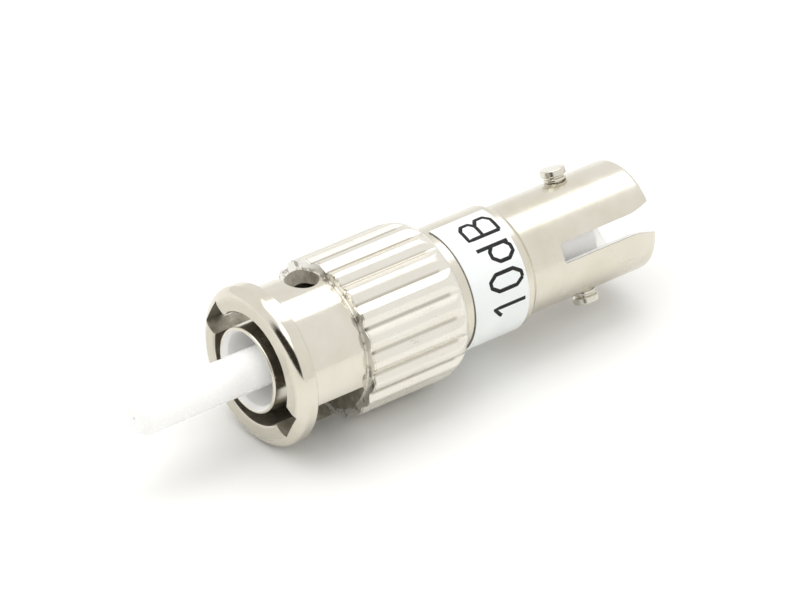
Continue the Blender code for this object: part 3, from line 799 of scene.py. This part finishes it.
def body_piece():
    return turned("body_shell", [
        (BODY_RADIUS, BODY_FRONT, 0.12),
        (BODY_RADIUS, BODY_REAR - 0.35, 0.2),
        (BODY_RADIUS - 0.25, BODY_REAR, 0.05),
        (BODY_BORE, BODY_REAR, 0.03),
        (BODY_BORE, BODY_REAR - BODY_BORE_DEPTH, 0),
        (BARREL_RADIUS + SEAT, BODY_REAR - BODY_BORE_DEPTH, 0),
        (BARREL_RADIUS + SEAT, BODY_FRONT, 0.05),
    ])


def label_piece():
    strip = rounded([
        (LABEL_INSIDE, LABEL_FRONT, 0.01), (LABEL_OUTSIDE, LABEL_FRONT, 0.02),
        (LABEL_OUTSIDE, LABEL_REAR, 0.02), (LABEL_INSIDE, LABEL_REAR, 0.01),
    ], 3)
    return mesh_object("film_label", spun(strip, 160, LABEL_WRAP, LABEL_CLOCK))


def keyway_cutter():
    """Flat-sided slot with cut inner corners, whose sides open in a soft flare at the rim."""
    inside, outside = (SOCKET_BORE + NOSE_RADIUS) / 2, SOCKET_RADIUS + 1
    half, end = KEYWAY_WIDTH / 2, RIM - KEYWAY_LENGTH
    side = [(end, half - KEYWAY_CORNER), (end + KEYWAY_CORNER, half)]
    for i in range(1, 13):
        share = i / 12
        side.append((RIM - FLARE_LENGTH * (1 - share), half + FLARE_WIDTH * (1 - cos(share * pi / 2))))
    side.append((RIM + 1, side[-1][1]))
    bm = bmesh.new()
    around = side + [(x, -y) for x, y in reversed(side)]
    bottom = bm.faces.new([bm.verts.new(((x - RIM) * MM, y * MM, inside * MM)) for x, y in around])
    raised = bmesh.ops.extrude_face_region(bm, geom=[bottom])["geom"]
    top = [v for v in raised if isinstance(v, bmesh.types.BMVert)]
    bmesh.ops.translate(bm, vec=(0, 0, (outside - inside) * MM), verts=top)
    stand_at(bm, RIM, KEY_CLOCK)
    return mesh_object("keyway", bm)


def socket_piece(plate, lining, cut):
    """Socket tube with its spigot, rounded rim, keyway and the holes of the two lugs."""
    shoulder, web_front = BODY_REAR + SEAT, SOCKET_FLOOR - SOCKET_WEB
    socket = turned("socket_tube", [
        (SPIGOT_RADIUS, SOCKET_FRONT, 0.05),
        (SPIGOT_RADIUS, shoulder, 0.02),
        (SOCKET_RADIUS, shoulder, 0.05),
        (SOCKET_RADIUS, RIM, 0.28),
        (SOCKET_BORE, RIM, 0.12),
        (SOCKET_BORE, SOCKET_FLOOR, 0.15),
        (NOSE_RADIUS + SEAT, SOCKET_FLOOR, 0.03),
        (NOSE_RADIUS + SEAT, web_front, 0),
        (SOCKET_POCKET, web_front, 0),
        (SOCKET_POCKET, SOCKET_FRONT, 0.05),
    ])
    lined(socket, plate, lining, SOCKET_BORE + 0.08, SOCKET_FLOOR - 0.1, RIM - 0.02)
    cut_out(socket, keyway_cutter(), cut)
    hole = [(LUG_SHANK + SEAT, NOSE_RADIUS + 0.1), (LUG_SHANK + SEAT, LUG_REACH)]
    for clock in (KEY_CLOCK - 90, KEY_CLOCK + 90):
        boolean(socket, pin("lug_hole", hole, LUG_STATION, clock, 48), "DIFFERENCE")
    smoothed(socket.data)
    return socket


def lug_piece(name, clock):
    """Turned lug: shank in the wall, collar, waist and a wider head with a slightly domed top."""
    foot, seat = SOCKET_BORE + 0.02, SOCKET_RADIUS + SEAT
    rise = LUG_REACH - seat
    outline = rounded([
        (0.02, foot, 0),
        (LUG_SHANK, foot, 0.02),
        (LUG_SHANK, seat, 0),
        (LUG_COLLAR, seat, 0.02),
        (LUG_COLLAR, seat + rise * 0.20, 0.03),
        (LUG_WAIST, seat + rise * 0.27, 0.03),
        (LUG_WAIST, seat + rise * 0.38, 0.03),
        (LUG_HEAD, seat + rise * 0.46, 0.04),
        (LUG_HEAD, LUG_REACH - 0.01, 0.07),
        (0.02, LUG_REACH, 0),
    ])
    return pin(name, outline, LUG_STATION, clock)


def holder_piece():
    """Sleeve holder: thin tube inside the plug, a flange, and the nose that stands in the socket."""
    flange_rear = SOCKET_FLOOR - SOCKET_WEB - SEAT
    flange_front = flange_rear - HOLDER_FLANGE_LENGTH
    sleeve_end = span("split_sleeve")[1] + SEAT
    return turned("socket_nose", [
        (HOLDER_RADIUS, HOLDER_FRONT, 0.03),
        (HOLDER_RADIUS, flange_front, 0),
        (HOLDER_FLANGE, flange_front, 0.03),
        (HOLDER_FLANGE, flange_rear, 0.03),
        (NOSE_RADIUS, flange_rear, 0),
        (NOSE_RADIUS, NOSE_TIP, 0.2),
        (NOSE_BORE, NOSE_TIP, 0.25),
        (NOSE_BORE, sleeve_end, 0),
        (HOLDER_BORE, sleeve_end, 0),
        (HOLDER_BORE, HOLDER_FRONT, 0.02),
    ])


def key_piece():
    """Alignment key: a pin pressed in the barrel, as thick as the CAD node is long."""
    front, rear = span("alignment_key")
    radius = (rear - front) / 2
    outline = rounded([
        (0.02, KEY_FOOT, 0), (radius, KEY_FOOT, 0.03), (radius, KEY_TOP, 0.12), (0.02, KEY_TOP, 0),
    ])
    return pin("pressed_key", outline, (front + rear) / 2, KEY_CLOCK)


def spring_piece():
    """Compression spring between the washers: a helix of round wire with closed ends.

    Returned with the stations, in metres, of the wire's two ends.
    """
    steps = 160
    low = span("thrust_washer")[1] + SEAT + WIRE_RADIUS
    high = span("slip_washer")[0] - SEAT - WIRE_RADIUS
    radius = (BARREL_RADIUS + NUT_BORE) / 2
    helix = []
    for i in range(steps + 1):
        share = i / steps
        rise = min(1, max(0, (share - CLOSED_SHARE) / (1 - 2 * CLOSED_SHARE)))
        angle = 2 * pi * SPRING_TURNS * share
        station = low + (high - low) * rise
        helix.append(Vector((station, radius * sin(angle), AXIS_HEIGHT + radius * cos(angle))))
    bm = round_wires("spring_wire", [helix], WIRE_RADIUS, 6)
    bmesh.ops.remove_doubles(bm, verts=bm.verts, dist=0.001 * MM)
    return mesh_object("nut_spring", bm), low * MM, high * MM


# The rated value on the label, drawn as plotter strokes on a grid six units high

FIGURE_HEIGHT = 2.30
STROKE = 0.125
STROKE_RELIEF = 0.08
FIGURE_START_CLOCK = 93.6
FIGURE_BASE = LABEL_REAR - 0.32
STROKES = {
    "1": [[(0.0, 4.6), (0.15, 4.9), (1.35, 5.9), (1.5, 6.0), (1.5, 0.0)]],
    "0": [[(0.9, 0), (1.8, 0), (2.7, 1.3), (2.7, 4.7), (1.8, 6), (0.9, 6), (0, 4.7), (0, 1.3), (0.9, 0)]],
    "d": [
        [(2.8, 0), (2.8, 6)],
        [(2.8, 0.8), (1.9, 0), (0.9, 0), (0, 1.1), (0, 2.9), (0.9, 4.0), (1.9, 4.0), (2.8, 3.2)],
    ],
    "B": [
        [(0, 0), (0, 6), (2.3, 6), (3.2, 5.3), (3.2, 3.9), (2.3, 3.2), (0, 3.2)],
        [(2.3, 3.2), (3.5, 2.3), (3.5, 0.8), (2.5, 0), (0, 0)],
    ],
}
FIGURE_OFFSETS = (("1", 0.0), ("0", 1.62), ("d", 3.30), ("B", 5.20))


def figures_piece():
    """The value 10 dB in black strokes that lie on the label and follow its curve."""
    unit = FIGURE_HEIGHT / 6
    paths = []
    for figure, offset in FIGURE_OFFSETS:
        for stroke in STROKES[figure]:
            path = [Vector((offset + u * unit, v * unit, 0)) for u, v in stroke]
            dense = [a.lerp(b, k / 6) for a, b in zip(path, path[1:]) for k in range(6)]
            paths.append(dense + [path[-1]])
    bm = round_wires("strokes", paths, STROKE, 3)
    for vert in bm.verts:
        clock = radians(FIGURE_START_CLOCK) - vert.co.x / (LABEL_OUTSIDE * MM)
        radius = LABEL_OUTSIDE * MM + STROKE_RELIEF * vert.co.z
        station = FIGURE_BASE * MM - vert.co.y
        vert.co = (station, -radius * sin(clock), AXIS_HEIGHT * MM + radius * cos(clock))
    return mesh_object("rating_figures", bm)


def build_pieces():
    """Makes the finishes and the pieces, and dresses the CAD nodes that stay."""
    plate = nickel("nickel_plate", smoothest=0.20)
    lug_plate = nickel("nickel_plate_lug", LUG_TINTS)
    grooves = (NUT_FRONT + GRIP_START + 0.1, NUT_REAR - 0.8, GRIP_VALLEY)
    nut_plate = nickel("nickel_plate_nut", smoothest=0.08, dull_face=NUT_FRONT, grip=grooves)
    # The bore and slot walls are bare and stained, and darker still as painted shade of these hollows
    bored = stained_and_shaded_wall("bored_wall", (0.10, 0.085, 0.06), (0.22, 0.20, 0.16), (0.40, 0.38, 0.33))
    milled = stained_and_shaded_wall("milled_wall", (0.20, 0.175, 0.13), (0.36, 0.33, 0.27), (0.60, 0.57, 0.50))
    # Near-white matt lining inside the recess and the socket, and on the nose: painted light, far paler
    # than the nickel and brass there, so that these hollows read bright
    lining = turned_finish(
        "lining_painted_light", (0.99, 0.985, 0.97), (0.97, 0.965, 0.945), 0.35, 0.0, 700.0, 12000.0
    )
    steel = turned_finish(
        "spring_steel", (0.62, 0.61, 0.58), (0.50, 0.49, 0.46), 0.28, 1.0, 500.0, 14000.0
    )
    brass = turned_finish(
        "turned_brass", (0.78, 0.62, 0.34), (0.62, 0.47, 0.23), 0.3, 1.0, 500.0, 14000.0
    )
    white = ceramic()
    dress(ferrule_piece(), white, "housing", "ceramic", "ferrule")
    dress(barrel_piece(plate, lining), None, "housing", "nickel", "plug_barrel")
    dress(nut_piece(nut_plate, bored, milled), None, "bayonet_nut", "nickel", "coupling_nut")
    dress(body_piece(), plate, "housing", "nickel", "centre_body")
    dress(label_piece(), film(), "housing", "label_film", "rating_label")
    dress(figures_piece(), ink(), "housing", "label_film", "rating_label")
    dress(socket_piece(plate, lining, keyway_wall()), None, "housing", "nickel", "receptacle")
    # The nose takes the near-white lining as painted light, in place of its brass
    dress(holder_piece(), lining, "housing", "brass", "sleeve_holder")
    dress(key_piece(), steel, "housing", "spring_steel", "alignment_key")
    dress(lug_piece("lug_top", KEY_CLOCK - 90), lug_plate, "housing", "nickel", "bayonet_lug_upper")
    dress(lug_piece("lug_bottom", KEY_CLOCK + 90), lug_plate, "housing", "nickel", "bayonet_lug_lower")
    spring, low, high = spring_piece()
    spring.data.materials.append(steel)
    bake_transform(spring)
    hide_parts("coupling_spring")
    kept = {
        "attenuating_fibre": glass_core(),
        "ferrule_collar": brass,
        "sleeve_cap": brass,
        "split_sleeve": white,
        "retaining_ring": steel,
        "thrust_washer": steel,
        "slip_washer": steel,
    }
    for name, look in kept.items():
        mesh = frame["nodes"][name].data
        mesh.materials.clear()
        mesh.materials.append(look)


# Studio. Angles are in degrees, the camera's aim and distance in millimetres, the floor and lamps in metres

CAMERA_AZIMUTH, CAMERA_ELEVATION, CAMERA_ROLL = -38.60, 35.04, 1.79
CAMERA_AIM = (-1.460, -3.478, 8.626)
CAMERA_DISTANCE = 454.2
CAMERA_LENS = 347.0
SENSOR_WIDTH = 36
FLOOR_SIZE = 6.0
LAMP_DISTANCE = 0.6
OVERHEAD_TILT = -14
OVERHEAD_ACROSS, OVERHEAD_ALONG = 0.40, 1.1
OVERHEAD_RADIANCE = 1.45
FILL_HEADING, FILL_RISE = 203.0, 50.0
FILL_SIDE = 0.36
FILL_RADIANCE = 1.0

# The studio's tone, and the dark room behind the camera that the metal mirrors: where it lies, the cosines
# from its heading that it fades between, and the height of its upper edge
STUDIO_TONE = (0.985, 0.98, 0.965)
DARK_TONE = (0.035, 0.03, 0.024)
DARK_HEADING = 198.5
DARK_OUTER, DARK_INNER = 0.74, 0.84
DARK_TOP, DARK_TOP_FADE = 0.52, 0.06


def camera_direction():
    """From the part towards the camera."""
    azimuth, elevation = radians(CAMERA_AZIMUTH), radians(CAMERA_ELEVATION)
    return Vector((sin(azimuth) * cos(elevation), -cos(azimuth) * cos(elevation), sin(elevation)))


def camera():
    data = bpy.data.cameras.new("camera")
    data.lens = CAMERA_LENS
    data.sensor_width = SENSOR_WIDTH
    data.clip_start, data.clip_end = 0.01, 20
    made = bpy.data.objects.new("camera", data)
    bpy.context.scene.collection.objects.link(made)
    back = camera_direction()
    made.rotation_mode = "QUATERNION"
    level = (-back).to_track_quat("-Z", "Y")
    roll = Matrix.Rotation(radians(CAMERA_ROLL), 3, "Z").to_quaternion()
    made.rotation_quaternion = level @ roll
    made.location = Vector(CAMERA_AIM) * MM + back * CAMERA_DISTANCE * MM
    bpy.context.scene.camera = made


def floor():
    bm = bmesh.new()
    bmesh.ops.create_grid(bm, x_segments=1, y_segments=1, size=FLOOR_SIZE / 2)
    made = mesh_object("floor", bm)
    look, _, shader = clean_material("white_floor")
    shader.inputs["Base Color"].default_value = (0.85, 0.85, 0.84, 1)
    shader.inputs["Roughness"].default_value = 0.6
    shader.inputs["Specular IOR Level"].default_value = 0.2
    made.data.materials.append(look)


def softbox(name, turn, across, along, radiance):
    """A rectangular lamp, stood overhead, then turned about the part, which it faces."""
    data = bpy.data.lights.new(name, "AREA")
    data.shape = "RECTANGLE"
    data.size, data.size_y = along, across
    data.energy = radiance * pi * across * along
    made = bpy.data.objects.new(name, data)
    bpy.context.scene.collection.objects.link(made)
    made.matrix_world = turn @ Matrix.Translation((0, 0, LAMP_DISTANCE))


def world():
    """Pale studio all round, with the dark room low behind the camera; the background is white."""
    made = bpy.data.worlds.new("studio")
    bpy.context.scene.world = made
    made.use_nodes = True
    tree = made.node_tree
    around = node(tree, "TexCoord").outputs["Generated"]
    heading = node(tree, "VectorMath", operation="DOT_PRODUCT")
    feed(tree, heading.inputs[0], around)
    heading.inputs[1].default_value = (cos(radians(DARK_HEADING)), sin(radians(DARK_HEADING)), 0)
    height = node(tree, "SeparateXYZ")
    feed(tree, height.inputs["Vector"], around)
    sideways = step_up(tree, heading.outputs["Value"], DARK_OUTER, DARK_INNER)
    low = step_up(tree, height.outputs["Z"], DARK_TOP + DARK_TOP_FADE, DARK_TOP - DARK_TOP_FADE)
    pale = tree.nodes["Background"]
    pale.inputs["Strength"].default_value = 1.0
    feed(tree, pale.inputs["Color"], mixed(tree, product(tree, sideways, low), STUDIO_TONE, DARK_TONE))
    seen = node(tree, "Background")
    seen.inputs["Color"].default_value = (1, 1, 1, 1)
    mix = node(tree, "MixShader")
    feed(tree, mix.inputs["Fac"], node(tree, "LightPath").outputs["Is Camera Ray"])
    feed(tree, mix.inputs[1], pale.outputs["Background"])
    feed(tree, mix.inputs[2], seen.outputs["Background"])
    feed(tree, tree.nodes["World Output"].inputs["Surface"], mix.outputs["Shader"])


camera()
build_pieces()
floor()
world()
overhead_turn = Matrix.Rotation(radians(OVERHEAD_TILT), 4, "X")
softbox("overhead_softbox", overhead_turn, OVERHEAD_ACROSS, OVERHEAD_ALONG, OVERHEAD_RADIANCE)
fill_tilt = Matrix.Rotation(radians(90 - FILL_RISE), 4, "Y")
fill_turn = Matrix.Rotation(radians(FILL_HEADING), 4, "Z") @ fill_tilt
softbox("front_fill", fill_turn, FILL_SIDE, FILL_SIDE, FILL_RADIANCE)
bpy.context.scene.view_settings.view_transform = "Standard"
